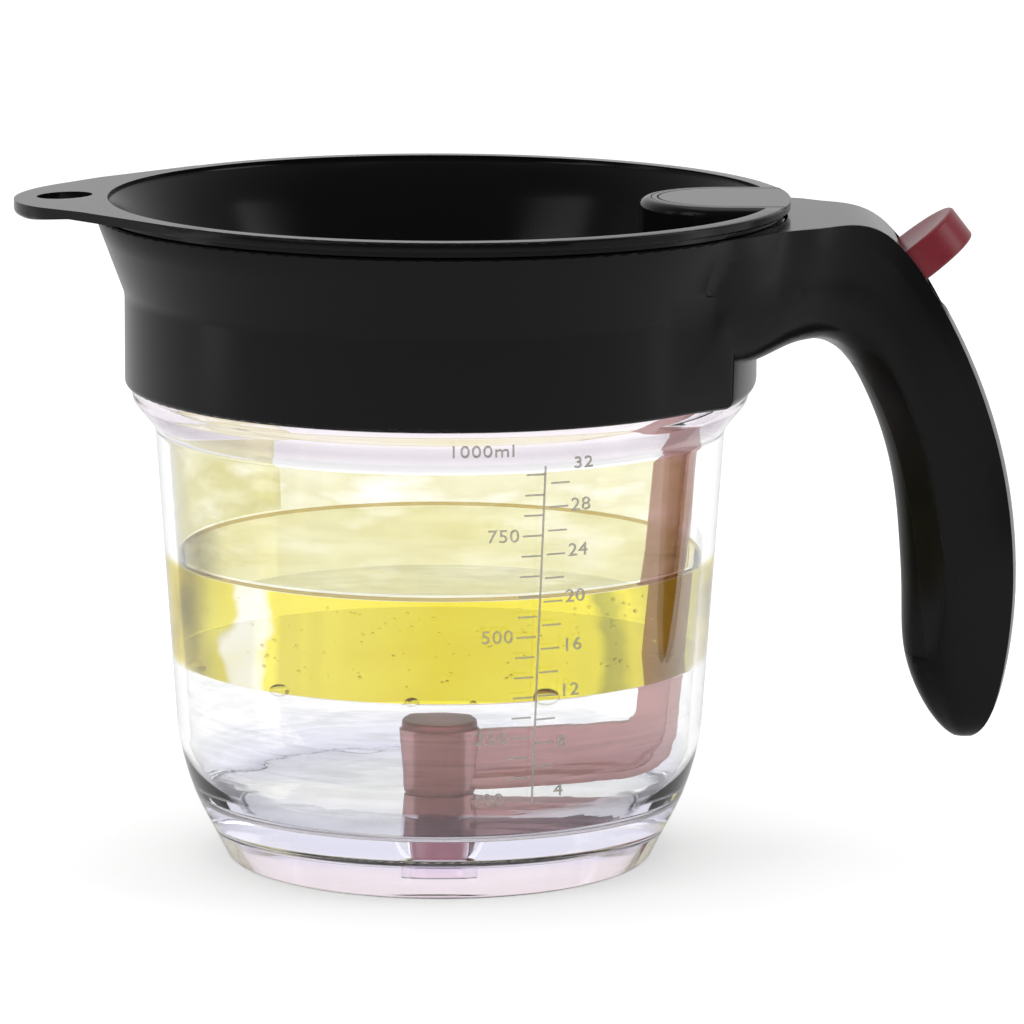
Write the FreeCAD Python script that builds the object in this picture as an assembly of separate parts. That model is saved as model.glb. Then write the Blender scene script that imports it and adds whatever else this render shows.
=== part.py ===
import FreeCAD, Part
import math
import os

# Fat separator jug with a lift-out drain plug.  Millimetres, +Z up.
# Origin: centre of the foot's rest plane, on the jug's axis.  The handle points to +X.

# ---------------------------------------------------------------- driving sizes
# clear jug
foot_radius = 48.4
foot_width = 3.6
heel_radius = 59.4
heel_height = 21.1
heel_bend = 48.0
shoulder_radius = 64.7
shoulder_height = 99.6
jug_wall = 2.6
floor_top = 14.6
floor_thickness = 4.6
neck_radius = 68.6
neck_wall = 2.4
neck_top = 124.3
spout_wall = 2.2
spout_drop = 5.5
neck_rise = 6.4
neck_setback = 1.6

# collar ring round the jug's neck
collar_radius = 71.5
collar_bottom = 108.9
collar_crease = 130.0
collar_top = 147.8
collar_flare = 6.6
collar_wall = 2.5
pad_setback = 6.5
pad_height = 26.0
pad_edge = 2.4
pad_inset = 1.5
collar_ledge = 3.0
seal_height = 1.7

# handle moulded with the collar
handle_reach = 60.0
handle_drop = 120.6
grip_width = 28.0
handle_wall = 2.4
side_wall = 1.4
cover_thickness = 2.2
cover_margin = 0.8
cover_ledge = 1.3
cover_backing = 2.2
palm_insert_width = 15.4
palm_insert_depth = 3.0

# strainer
rim_radius = 79.0
rim_width = 3.8
rim_top = 151.5
rim_thickness = 2.2
rim_overlap = 2.0
strainer_wall = 1.8
strainer_floor = 113.0
strainer_floor_radius = 59.0
strainer_hole_radius = 1.35
strainer_hole_pitch = 6.6
tab_overhang = 17.4
tab_tip_radius = 31.0
tab_tip_thickness = 3.2
tab_droop = 0.7
tab_edge = 1.2
tab_hole_inset = 11.4
tab_hole_radius = 6.3
hood_inset = 1.2
hood_radius = 20.2
hood_wall = 2.0
hood_edge = 2.2
cap_radius = 17.4
cap_thickness = 1.4
cap_groove_radius = 15.8
cap_groove_width = 0.45
cap_groove_depth = 0.5

# lifting gear
pivot_reach = 18.5
pivot_z = 131.0
pin_radius = 2.0
hub_radius = 4.6
finger_inset = 10.0
finger_tip_radius = 1.8
finger_thickness = 2.2
finger_width = 6.0
paddle_angle = 38.0
paddle_tip_out = 25.4
paddle_tip_up = 18.5
paddle_length = 21.5
paddle_thickness = 8.0
paddle_half_width = 12.6
paddle_dish = 0.9
paddle_rim = 1.6
cheek_thickness = 2.0
bridge_top = 145.3
bridge_bottom = 126.4
bridge_roof = 2.0
bridge_overrun = 5.5
ear_setback = 8.0
screw_radius = 1.25
screw_head_radius = 2.1
screw_head_height = 1.6
screw_length = 8.0
boss_radius = 2.4
boss_height = 16.0
ear_thickness = 2.4
ear_lift = 8.0

# carriage, arm and plug
carriage_length = 9.2
carriage_half_width = 5.5
carriage_top = 134.6
carriage_bottom = 118.6
rib_width = 2.2
rib_depth = 1.0
tongue_roof = 1.6
spring_radius = 3.2
spring_wire = 0.7
spring_turns = 4.5
spigot_radius = 2.0
spigot_height = 1.2
arm_web = 3.0
arm_flange = 8.0
arm_flange_thickness = 2.4
arm_leg_width = 9.4
arm_foot_height = 11.2
arm_slant = 5.0
arm_top_width = 6.6
arm_knee = 98.0
arm_foot_top = 31.0
arm_foot_slope = 3.5
arm_foot_bend = 13.0
barrel_top_radius = 9.0
barrel_bottom_radius = 7.8
barrel_top = 29.6
plug_cap_radius = 8.4
plug_cap_height = 1.9
plug_stem_radius = 4.6
plug_seat_radius = 7.45
plug_tip_radius = 6.25

# clearances
seat_gap = 0.3
slide_gap = 0.2
shaft_gap = 0.05
moulding_gap = 0.12
fit_gap = 0.2
plug_gap = 0.1
cheek_gap = 0.3
paddle_gap = 0.6
cap_gap = 0.25

AXIS = FreeCAD.Vector(0, 0, 1)
ACROSS = FreeCAD.Vector(0, 1, 0)
ORIGIN = FreeCAD.Vector(0, 0, 0)


# ---------------------------------------------------------------- helpers
def xz(x, z, y=0.0):
    return FreeCAD.Vector(x, y, z)


def outline(corners, y=0.0):
    """Closed wire in the XZ plane.  Each corner is (x, z) or (x, z, rounding radius)."""
    points = [xz(c[0], c[1], y) for c in corners]
    radii = [c[2] if len(c) > 2 else 0.0 for c in corners]
    count = len(points)
    runs = []
    for i in range(count):
        here = points[i]
        before = points[i - 1] - here
        after = points[(i + 1) % count] - here
        if radii[i] <= 0:
            runs.append((here, None, here))
            continue
        half = before.getAngle(after) / 2.0
        reach = radii[i] / math.tan(half)
        reach = min(reach, 0.49 * before.Length, 0.49 * after.Length)
        radius = reach * math.tan(half)
        start = here + before.normalize() * reach
        end = here + after.normalize() * reach
        bisector = (before + after).normalize()
        middle = here + bisector * (radius / math.sin(half) - radius)
        runs.append((start, middle, end))
    edges = []
    for i in range(count):
        start, middle, end = runs[i]
        if middle is not None:
            edges.append(Part.Arc(start, middle, end).toShape())
        following = runs[(i + 1) % count][0]
        if end.distanceToPoint(following) > 1e-6:
            edges.append(Part.LineSegment(end, following).toShape())
    return Part.Wire(edges)


def turned(corners):
    """Solid of revolution about the jug's axis."""
    return Part.Face(outline(corners)).revolve(ORIGIN, AXIS, 360)


def slab(corners, half_width):
    """Plate cut to an XZ outline, centred across the jug."""
    face = Part.Face(outline(corners, -half_width))
    return face.extrude(ACROSS * (2 * half_width))


def block(x_low, x_high, half_width, z_low, z_high):
    size = (x_high - x_low, 2 * half_width, z_high - z_low)
    return Part.makeBox(size[0], size[1], size[2], xz(x_low, z_low, -half_width))


def across_rod(radius, x, z, half_width):
    """Round bar that lies across the jug."""
    return Part.makeCylinder(radius, 2 * half_width, xz(x, z, -half_width), ACROSS)


def upright(radius, z_low, z_high, x=0.0, y=0.0):
    return Part.makeCylinder(radius, z_high - z_low, xz(x, z_low, y), AXIS)


def rounded(shape, radius, wanted):
    """Round the edges whose middle passes the test."""
    edges = [e for e in shape.Edges if wanted(e)]
    return shape.makeFillet(radius, edges)


def save(name, shape):
    shape = shape.removeSplitter()
    shape.exportStep("parts/" + name + ".step")


# ---------------------------------------------------------------- shared profiles
collar_top_radius = collar_radius + collar_flare
pivot_x = collar_radius + pivot_reach
bridge_end = pivot_x + bridge_overrun
bridge_ear_x = pivot_x - ear_setback
tab_end = rim_radius + tab_overhang
neck_inner = neck_radius - neck_wall
hood_centre = neck_inner - hood_inset
finger_x = hood_centre - finger_inset
collar_bore = neck_radius + fit_gap
ledge_bottom = neck_top + seal_height
ledge_top = ledge_bottom + collar_ledge
cone_run = collar_top_radius - collar_radius
cone_rise = collar_top - collar_crease
cone_angle = math.atan2(cone_run, cone_rise)
flare_wall = collar_wall / math.cos(cone_angle)
drain_radius = plug_tip_radius + plug_gap
seat_radius = plug_seat_radius + plug_gap
floor_bottom = floor_top - floor_thickness
handle_top = collar_top


def make_jug():
    wall_slope = (shoulder_radius - heel_radius) / (shoulder_height - heel_height)
    heel_lean = (heel_radius - foot_radius) / heel_height
    inner_heel_height = heel_height + jug_wall
    inner_heel = heel_radius - jug_wall + wall_slope * jug_wall
    inner_floor_radius = inner_heel - heel_lean * (inner_heel_height - floor_top)
    spout_radius = drain_radius + spout_wall
    spout_bottom = floor_bottom - spout_drop
    flange_radius = collar_radius - neck_setback
    flange_top = collar_bottom - moulding_gap
    outer = [
        (foot_radius - foot_width, 0, 0.8),
        (foot_radius, 0, 1.2),
        (heel_radius, heel_height, heel_bend),
        (shoulder_radius, shoulder_height, 4.5),
        (flange_radius, shoulder_height + neck_rise, 3.0),
        (flange_radius, flange_top),
        (neck_radius, flange_top),
        (neck_radius, neck_top, 0.6),
    ]
    inner = [
        (neck_inner, neck_top, 0.6),
        (neck_inner, shoulder_height + neck_rise + 1.1, 4.0),
        (shoulder_radius - jug_wall, shoulder_height + 1.0, 4.0),
        (inner_heel, inner_heel_height, heel_bend - jug_wall),
        (inner_floor_radius, floor_top, 3.5),
        (seat_radius, floor_top, 0.3),
        (drain_radius, floor_bottom + 0.4),
        (drain_radius, spout_bottom, 0.4),
        (spout_radius, spout_bottom, 0.4),
        (spout_radius, floor_bottom, 1.2),
        (foot_radius - foot_width + 1.2, floor_bottom, 2.0),
    ]
    return turned(outer + inner)


def make_seal():
    inner = neck_inner + 0.3
    outer = neck_radius - 0.3
    return turned([
        (inner, neck_top, 0.3),
        (outer, neck_top, 0.3),
        (outer, ledge_bottom, 0.3),
        (inner, ledge_bottom, 0.3),
    ])


# ---------------------------------------------------------------- handle
# Sections of the handle, from the collar to the tip.  The first four numbers place the
# spine and the palm, as shares of the reach and the drop:
# (spine out, spine down, palm out, palm down).
# The next four are half-widths, and the palm's crown, as shares of the grip's width:
# (spine strip, flank, palm strip, crown).
# The last three shape the sides: the spine's crown as a share of the grip's width, the
# share of the depth at which the flank turns in, and how full that turn is.
STATIONS = [
    (-0.225, 0.000, -0.225, 0.250, 1.800, 1.570, 1.340, 0.020, 0.000, 0.80, 0.75),
    (-0.092, 0.000, -0.092, 0.249, 1.545, 1.380, 1.110, 0.026, 0.000, 0.80, 0.75),
    (0.017, 0.000, 0.017, 0.243, 1.285, 1.197, 0.880, 0.034, 0.000, 0.79, 0.75),
    (0.142, 0.000, 0.142, 0.227, 1.010, 0.984, 0.660, 0.046, 0.000, 0.77, 0.73),
    (0.242, 0.000, 0.226, 0.231, 0.857, 0.832, 0.510, 0.064, 0.000, 0.74, 0.70),
    (0.343, 0.000, 0.313, 0.254, 0.693, 0.700, 0.410, 0.085, 0.000, 0.72, 0.62),
    (0.448, 0.013, 0.375, 0.293, 0.585, 0.618, 0.350, 0.107, 0.002, 0.69, 0.55),
    (0.536, 0.048, 0.416, 0.332, 0.512, 0.575, 0.322, 0.128, 0.005, 0.67, 0.50),
    (0.677, 0.141, 0.481, 0.412, 0.480, 0.543, 0.307, 0.143, 0.020, 0.65, 0.47),
    (0.836, 0.294, 0.533, 0.522, 0.443, 0.514, 0.300, 0.150, 0.040, 0.64, 0.45),
    (0.978, 0.546, 0.558, 0.647, 0.420, 0.486, 0.286, 0.146, 0.050, 0.63, 0.45),
    (0.994, 0.761, 0.568, 0.778, 0.378, 0.436, 0.264, 0.136, 0.050, 0.63, 0.45),
    (0.945, 0.910, 0.617, 0.894, 0.285, 0.330, 0.200, 0.100, 0.035, 0.63, 0.47),
    (0.878, 0.981, 0.719, 0.976, 0.150, 0.180, 0.114, 0.043, 0.012, 0.63, 0.50),
    (0.841, 0.997, 0.771, 0.996, 0.057, 0.072, 0.046, 0.010, 0.004, 0.63, 0.50),
]
ROOT_END = 3
SLOT_START = 7
SLOT_END = 8


def handle_point(out, down):
    return xz(collar_radius + out * handle_reach, handle_top - down * handle_drop)


def handle_section(station):
    """Closed wire across the handle: side, palm bead, side, spine."""
    spine = handle_point(station[0], station[1])
    palm = handle_point(station[2], station[3])
    strip, flank, palm_half, crown, spine_crown = [share * grip_width for share in station[4:9]]
    turn, fullness = station[9:11]
    inward = palm - spine
    depth = inward.Length
    inward.normalize()

    def at(side, share):
        return spine + inward * (share * depth) + ACROSS * side

    spine_share = spine_crown / depth
    palm_share = 1.0 - crown / depth
    turned_in = palm_half + fullness * (flank - palm_half)
    side = [
        (strip, spine_share),
        (strip + 0.5 * (flank - strip), spine_share + 0.14),
        (flank, 0.42),
        (0.985 * flank, turn),
        (turned_in, turn + 0.55 * (palm_share - turn)),
        (palm_half, palm_share),
    ]
    right = Part.BSplineCurve()
    right.interpolate([at(y, share) for y, share in side])
    left = Part.BSplineCurve()
    left.interpolate([at(-y, share) for y, share in reversed(side)])
    bead = Part.Arc(at(palm_half, palm_share), at(0, 1.0), at(-palm_half, palm_share))
    if spine_crown > 0.01:
        back = Part.Arc(at(-strip, spine_share), at(0, 0.0), at(strip, spine_share))
    else:
        back = Part.LineSegment(at(-strip, spine_share), at(strip, spine_share))
    return Part.Wire([c.toShape() for c in (right, bead, left, back)])


def make_handle_form():
    """Whole outside shape of the handle, before it is hollowed."""
    return Part.makeLoft([handle_section(s) for s in STATIONS], True, False)


def make_root_pad():
    """Block under the handle's root, from the collar's bottom edge up into the handle."""
    station = STATIONS[ROOT_END]
    root_x = collar_radius + station[0] * handle_reach
    root_y = station[5] * grip_width - pad_inset
    reach = math.hypot(root_x, root_y)
    ring = collar_radius - fit_gap
    touch = math.atan2(root_y, root_x) + math.acos(ring / reach)
    start = xz(ring * math.cos(touch), collar_bottom, ring * math.sin(touch))
    slope = (start.y - root_y) / (start.x - root_x)
    corner_x = collar_radius - pad_setback
    corner = xz(corner_x, collar_bottom, root_y + slope * (corner_x - root_x))
    front = xz(collar_radius + fit_gap, collar_bottom)
    far_corner = xz(corner.x, corner.z, -corner.y)
    far_start = xz(start.x, start.z, -start.y)
    wire = Part.Wire([
        Part.LineSegment(start, corner).toShape(),
        Part.Arc(corner, front, far_corner).toShape(),
        Part.LineSegment(far_corner, far_start).toShape(),
        Part.LineSegment(far_start, start).toShape(),
    ])
    pad = Part.Face(wire).extrude(AXIS * pad_height)
    pad = rounded(pad, pad_edge, lambda e: e.BoundBox.ZLength > pad_height / 2
                  and e.BoundBox.XMin > corner_x - 0.1)
    return rounded(pad, pad_edge, lambda e: e.BoundBox.ZMax < collar_bottom + 0.01
                   and e.BoundBox.XMax > start.x + 0.01)


def cover_plan(margin, far_x, half_limit=1000.0):
    """Upright prism over the spine strip, set in from its edges by a margin."""
    right = []
    for station in STATIONS[2:9]:
        point = handle_point(station[0], station[1])
        half = min(station[4] * grip_width - margin, half_limit)
        right.append((point.x, half))
    curve = Part.BSplineCurve()
    curve.interpolate([FreeCAD.Vector(x, -half, 0) for x, half in right])
    mirror = Part.BSplineCurve()
    mirror.interpolate([FreeCAD.Vector(x, half, 0) for x, half in reversed(right)])
    start = Part.LineSegment(mirror.EndPoint, curve.StartPoint)
    end = Part.LineSegment(curve.EndPoint, mirror.StartPoint)
    wire = Part.Wire([c.toShape() for c in (start, curve, end, mirror)])
    prism = Part.Face(wire).extrude(AXIS * (2 * handle_top))
    keep = block(0, far_x, rim_radius, 0, 2 * handle_top)
    return prism.common(keep)


slot_front = handle_point(STATIONS[SLOT_START][0], STATIONS[SLOT_START][1])
slot_back = handle_point(STATIONS[SLOT_END][0], STATIONS[SLOT_END][1])
cavity_half = paddle_half_width + paddle_gap
roof_bottom = handle_top - cover_thickness - cover_backing


def make_cavity(form):
    """Room inside the handle's top for the lever, open to the spine at the slot."""
    rear_low = handle_point(STATIONS[SLOT_END][2], STATIONS[SLOT_END][3])
    bend = handle_point(STATIONS[6][2], STATIONS[6][3])
    floor_front = handle_point(STATIONS[3][2], STATIONS[3][3])
    room = slab([
        (collar_radius + 3.0, roof_bottom, 2.0),
        (collar_radius + 3.0, floor_front.z + handle_wall + 2.0, 2.0),
        (bend.x - 2.0, bend.z + handle_wall + 5.0, 6.0),
        (rear_low.x + 5.0, rear_low.z + 12.0, 3.0),
        (slot_back.x - 3.0, slot_back.z - 9.0, 2.0),
        (slot_back.x - 0.5, slot_back.z - 1.0, 2.0),
        (slot_front.x + 0.5, roof_bottom - 3.0, 1.0),
        (slot_front.x - 6.0, roof_bottom, 1.5),
    ], cavity_half)
    for step in ((0, side_wall, 0), (0, -side_wall, 0), (handle_wall, 0, handle_wall)):
        moved = form.copy()
        moved.translate(FreeCAD.Vector(*step))
        room = room.common(moved)
    slot = slab([
        (slot_front.x - 0.4, slot_front.z - 8.0),
        (slot_back.x - 4.0, slot_back.z - 8.0),
        (slot_back.x + 3.2, slot_back.z - 4.4),
        (slot_back.x + 16.0, slot_back.z + 3.0),
        (slot_front.x - 0.4, handle_top + paddle_length),
    ], cavity_half)
    return room.fuse(slot)


def make_palm_channel(form, extra):
    """Layer on the palm side of the grip that the insert fills."""
    middle = handle_point(STATIONS[11][2], STATIONS[11][3]).z
    low = 0.5 * (middle + handle_point(STATIONS[12][2], STATIONS[12][3]).z)
    high = handle_point(STATIONS[6][2], STATIONS[6][3]).z + 2.0
    strip = block(collar_radius + 12.0, collar_radius + handle_reach,
                  palm_insert_width / 2.0 + extra, low - extra, high + extra)
    inner_form = form.copy()
    step = (palm_insert_depth + extra) / math.sqrt(2)
    inner_form.translate(FreeCAD.Vector(step, 0, step))
    return strip.common(form).cut(inner_form)


def make_grip_pocket():
    """Core-out behind the palm insert that keeps the grip's walls even."""
    half = palm_insert_width / 2.0 - 2.5
    top = handle_point(STATIONS[9][2], STATIONS[9][3])
    middle = handle_point(STATIONS[10][2], STATIONS[10][3])
    low = handle_point(STATIONS[11][2], STATIONS[11][3])
    back_top = handle_point(STATIONS[9][0], STATIONS[9][1])
    back_middle = handle_point(STATIONS[10][0], STATIONS[10][1])
    back_low = handle_point(STATIONS[11][0], STATIONS[11][1])
    wall = handle_wall + 1.0
    pocket = slab([
        (top.x, top.z + 4.0),
        (back_top.x - wall - 2.0, top.z + 4.0, 2.0),
        (back_middle.x - wall, back_middle.z, 20.0),
        (back_low.x - wall, low.z + 3.0, 2.0),
        (low.x, low.z + 3.0),
        (middle.x, middle.z),
    ], half)
    for share in (0.33, 0.67):
        level = low.z + share * (top.z - low.z)
        pocket = pocket.cut(block(low.x - 20.0, back_low.x + 9.0, half + 1.0, level, level + 2.0))
    return pocket


def screw_places():
    side = carriage_half_width + cheek_thickness + 2 * cheek_gap + boss_radius
    return [(bridge_ear_x, -side), (bridge_ear_x, side)]


ear_bottom = bridge_bottom + ear_lift


def make_collar(form):
    """Collar ring and handle shell, one moulding."""
    crease_inner = collar_radius - collar_wall
    ring = turned([
        (collar_bore, collar_bottom, 0.4),
        (collar_radius, collar_bottom, 2.6),
        (collar_radius, collar_crease, 6.0),
        (collar_top_radius, collar_top, 0.4),
        (collar_top_radius - flare_wall, collar_top, 0.4),
        (crease_inner, collar_crease, 4.0),
        (crease_inner, ledge_top + 1.2),
        (neck_inner, ledge_top, 0.4),
        (neck_inner, ledge_bottom, 0.2),
        (collar_bore, ledge_bottom),
    ])
    core = turned([
        (0, collar_bottom - 10),
        (collar_radius - 1.0, collar_bottom - 10),
        (collar_radius - 1.0, collar_crease),
        (collar_top_radius - 1.2, collar_top),
        (collar_top_radius - 1.2, collar_top + 5),
        (0, collar_top + 5),
    ])
    shell = form.fuse(make_root_pad()).cut(core)
    shell = shell.cut(make_cavity(form))
    shell = shell.cut(make_cover_layer(form, moulding_gap))
    hatch = cover_plan(cover_margin + cover_ledge, bridge_end + 1.0, cavity_half)
    hatch = hatch.common(block(collar_radius + 3.0, bridge_end + 1.0, rim_radius,
                               roof_bottom - 1.0, handle_top + 5))
    shell = shell.cut(hatch)
    shell = shell.cut(make_palm_channel(form, moulding_gap))
    shell = shell.cut(make_grip_pocket())
    for x, y in screw_places():
        boss = upright(boss_radius, ear_bottom - boss_height, ear_bottom, x, y)
        shell = shell.fuse(boss.common(form))
    body = ring.fuse(shell)
    half_notch = carriage_half_width + cheek_gap + cheek_thickness + slide_gap
    notch = block(neck_inner - 1.0, collar_radius + 8.0, half_notch,
                  bridge_bottom - slide_gap, collar_top + 5)
    body = body.cut(notch)
    for x, y in screw_places():
        body = body.cut(upright(screw_radius, ear_bottom - screw_length, ear_bottom + 1.0, x, y))
    return body


def make_cover_layer(form, extra):
    """Top layer of the handle over the spine strip."""
    lowered = form.copy()
    lowered.translate(FreeCAD.Vector(0, 0, -cover_thickness))
    plan = cover_plan(cover_margin - extra, slot_front.x - 0.6 + extra)
    plan = plan.common(block(0, 2 * rim_radius, rim_radius, slot_front.z - 2 * cover_thickness,
                             2 * handle_top))
    outside = upright(collar_top_radius + 0.3 - extra, 0, 2 * handle_top)
    return plan.common(form).cut(lowered).cut(outside)


def make_grip_insert(form):
    return make_palm_channel(form, 0.0)


# ---------------------------------------------------------------- lifting gear
def make_bridge():
    inner = carriage_half_width + cheek_gap
    outer = inner + cheek_thickness
    nose = hood_centre - math.sqrt((hood_radius - hood_wall) ** 2 - outer ** 2) + 0.6
    body = slab([
        (nose, bridge_top, 1.0),
        (nose, bridge_bottom + 2.0, 2.0),
        (collar_radius - 6.0, bridge_bottom, 2.0),
        (bridge_end, bridge_bottom, 3.0),
        (bridge_end, bridge_top, 4.0),
    ], outer)
    gap = slab([
        (nose - 5.0, bridge_top - bridge_roof, 0.5),
        (nose - 5.0, bridge_bottom - 5.0),
        (bridge_end + 5.0, bridge_bottom - 5.0),
        (bridge_end + 5.0, bridge_top - bridge_roof, 0.5),
    ], inner)
    body = body.cut(gap)
    window = block(pivot_x - 6.5, bridge_end + 1, inner, bridge_top - bridge_roof - 1, bridge_top + 1)
    body = body.cut(window)
    groove = block(finger_x - rib_width / 2 - slide_gap, finger_x + rib_width / 2 + slide_gap,
                   carriage_half_width + rib_depth + slide_gap,
                   bridge_bottom - 1, bridge_top - bridge_roof)
    body = body.cut(groove)
    for x, y in screw_places():
        ear = upright(screw_head_radius + 0.4, ear_bottom, ear_bottom + ear_thickness, x, y)
        reach = abs(y) - outer + 0.5
        low = outer - 0.5 if y > 0 else y
        web = Part.makeBox(4.6, reach, ear_thickness, xz(x - 2.3, ear_bottom, low))
        body = body.fuse(ear.fuse(web))
        body = body.cut(upright(screw_radius + 0.15, ear_bottom - 1, ear_bottom + 9, x, y))
    body = body.cut(across_rod(pin_radius, pivot_x, pivot_z, outer + 1))
    spigot = upright(spigot_radius, bridge_top - bridge_roof - spigot_height,
                     bridge_top - bridge_roof, finger_x, 0)
    return body.fuse(spigot)


def make_bridge_screws():
    screws = []
    for x, y in screw_places():
        top = ear_bottom + ear_thickness
        head = upright(screw_head_radius, top, top + screw_head_height, x, y)
        head = rounded(head, 0.6, lambda e: e.BoundBox.ZMin > top + 1.0 and len(e.Vertexes) == 1)
        shank = upright(screw_radius - 0.02, top - screw_length, top, x, y)
        drive = block(x - 1.6, x + 1.6, 0.3, top + screw_head_height - 0.8, top + 5)
        drive.translate(ACROSS * y)
        screws.append(head.fuse(shank).cut(drive))
    return Part.makeCompound(screws)


def make_pin():
    return across_rod(pin_radius, pivot_x, pivot_z, carriage_half_width + cheek_gap + cheek_thickness)


def paddle_frame():
    turn = math.radians(paddle_angle)
    along = FreeCAD.Vector(math.cos(turn), 0, math.sin(turn))
    normal = FreeCAD.Vector(-math.sin(turn), 0, math.cos(turn))
    tip = xz(pivot_x + paddle_tip_out, pivot_z + paddle_tip_up)
    return tip, along, normal


def make_lever():
    """Thumb paddle, hub and lifting finger, one moulding."""
    tip, along, normal = paddle_frame()
    root = tip - along * paddle_length
    centre = tip - along * paddle_half_width
    right = ACROSS * paddle_half_width
    plan = Part.Wire([
        Part.LineSegment(root - right, centre - right).toShape(),
        Part.Arc(centre - right, tip, centre + right).toShape(),
        Part.LineSegment(centre + right, root + right).toShape(),
        Part.LineSegment(root + right, root - right).toShape(),
    ])
    paddle = Part.Face(plan).extrude(normal * -paddle_thickness)
    paddle = rounded(paddle, 0.8, lambda e: e.CenterOfMass.distanceToPlane(root, along) > 0.5)
    dish_radius = paddle_half_width - paddle_rim
    dish_sphere = (dish_radius ** 2 + paddle_dish ** 2) / (2 * paddle_dish)
    hollow = Part.makeSphere(dish_sphere, centre + normal * (dish_sphere - paddle_dish))
    paddle = paddle.cut(hollow)
    hub_half = carriage_half_width + cheek_gap - slide_gap
    back = root - normal * paddle_thickness
    arm = slab([
        (pivot_x - 2.0, pivot_z - hub_radius + 0.4, 1.0),
        (pivot_x - 2.0, pivot_z + hub_radius - 0.4, 1.0),
        (root.x + 1.5, root.z - 0.8, 1.0),
        (root.x + along.x * 6.0, root.z + along.z * 6.0 - 0.8),
        (back.x + along.x * 6.0, back.z + along.z * 6.0 + 0.6),
        (back.x + 0.5, back.z + 1.0, 1.0),
    ], hub_half)
    hub = across_rod(hub_radius, pivot_x, pivot_z, hub_half)
    finger = block(finger_x, pivot_x, finger_width / 2, pivot_z - finger_thickness / 2,
                   pivot_z + finger_thickness / 2)
    bulb = across_rod(finger_tip_radius, finger_x, pivot_z, finger_width / 2)
    gusset = slab([
        (pivot_x - 16.0, pivot_z - finger_thickness / 2),
        (pivot_x - 16.0, pivot_z + finger_thickness / 2),
        (pivot_x, pivot_z + hub_radius - 0.3),
        (pivot_x, pivot_z - hub_radius + 0.3),
    ], finger_width / 2)
    body = paddle.fuse([arm, hub, finger, bulb, gusset])
    return body.cut(across_rod(pin_radius + shaft_gap, pivot_x, pivot_z, hub_half + 1))


def carriage_span():
    low = finger_x - carriage_length / 2 - 0.8
    return low, low + carriage_length


def make_carriage():
    low, high = carriage_span()
    body = block(low, high, carriage_half_width, carriage_bottom, carriage_top)
    body = rounded(body, 1.2, lambda e: e.BoundBox.ZLength > 5 and e.CenterOfMass.x < low + 0.1)
    ribs = block(finger_x - rib_width / 2, finger_x + rib_width / 2,
                 carriage_half_width + rib_depth, bridge_bottom, carriage_top)
    body = body.fuse(ribs)
    slot_half = finger_tip_radius + slide_gap
    slot = block(finger_x - finger_tip_radius - 0.6, high + 1, finger_width / 2 + slide_gap * 2,
                 pivot_z - slot_half, pivot_z + slot_half)
    body = body.cut(slot)
    socket = arm_socket(moulding_gap)
    body = body.cut(socket)
    spigot = upright(spigot_radius, carriage_top, carriage_top + spigot_height, finger_x, 0)
    return body.fuse(spigot)


def arm_socket(extra):
    """Tongue at the arm's top that pushes up into the carriage."""
    low = finger_x - arm_top_width / 2
    return block(low - extra, low + arm_top_width + extra, arm_web / 2 + extra,
                 carriage_bottom - 1, pivot_z - finger_tip_radius - slide_gap - tongue_roof + extra)


def make_spring():
    bottom = carriage_top
    top = bridge_top - bridge_roof
    height = top - bottom - spring_wire
    pitch = height / spring_turns
    helix = Part.makeLongHelix(pitch, height, spring_radius - spring_wire / 2)
    helix.translate(xz(finger_x, bottom + spring_wire / 2))
    start = xz(finger_x + spring_radius - spring_wire / 2, bottom + spring_wire / 2)
    circle = Part.Wire([Part.makeCircle(spring_wire / 2, start, ACROSS)])
    return Part.Wire(helix.Edges).makePipeShell([circle], True, True)


def make_arm():
    lean = math.tan(math.radians(arm_slant))
    tongue_low = finger_x - arm_top_width / 2
    tongue_high = tongue_low + arm_top_width
    tongue_top = pivot_z - finger_tip_radius - slide_gap - tongue_roof
    outer_knee = tongue_high + 0.4
    inner_knee = outer_knee - arm_leg_width
    foot_bottom = arm_foot_top - arm_foot_height - 0.6
    outer_corner = outer_knee - lean * (arm_knee - foot_bottom)
    inner_corner = inner_knee - lean * (arm_knee - arm_foot_top)
    foot_slope = math.tan(math.radians(arm_foot_slope))
    inner_end = plug_stem_radius + 1.0
    web = slab([
        (tongue_low, tongue_top, 0.8),
        (tongue_high, tongue_top, 0.8),
        (tongue_high, arm_knee + 6.0, 1.0),
        (outer_knee, arm_knee, 6.0),
        (outer_corner, foot_bottom, arm_foot_bend),
        (inner_end, foot_bottom - foot_slope * (outer_corner - inner_end)),
        (inner_end, arm_foot_top - foot_slope * (inner_corner - inner_end)),
        (inner_corner, arm_foot_top, 3.0),
        (inner_knee, arm_knee, 4.0),
        (tongue_low, arm_knee + 4.0, 2.0),
    ], arm_web / 2)
    flange_outer = slab([
        (outer_knee, arm_knee, 4.0),
        (outer_corner, foot_bottom, arm_foot_bend),
        (inner_end, foot_bottom - foot_slope * (outer_corner - inner_end)),
        (inner_end, foot_bottom - foot_slope * (outer_corner - inner_end) + arm_flange_thickness),
        (outer_corner - arm_flange_thickness, foot_bottom + arm_flange_thickness,
         arm_foot_bend - arm_flange_thickness),
        (outer_knee - arm_flange_thickness, arm_knee, 1.0),
    ], arm_flange / 2)
    floor_gap = floor_top + seat_gap
    barrel = turned([
        (0, floor_gap),
        (barrel_bottom_radius, floor_gap, 0.5),
        (barrel_top_radius, barrel_top, 0.6),
        (0, barrel_top),
    ])
    body = web.fuse([flange_outer, barrel])
    return body.cut(upright(plug_stem_radius, 0, barrel_top + 5))


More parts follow.
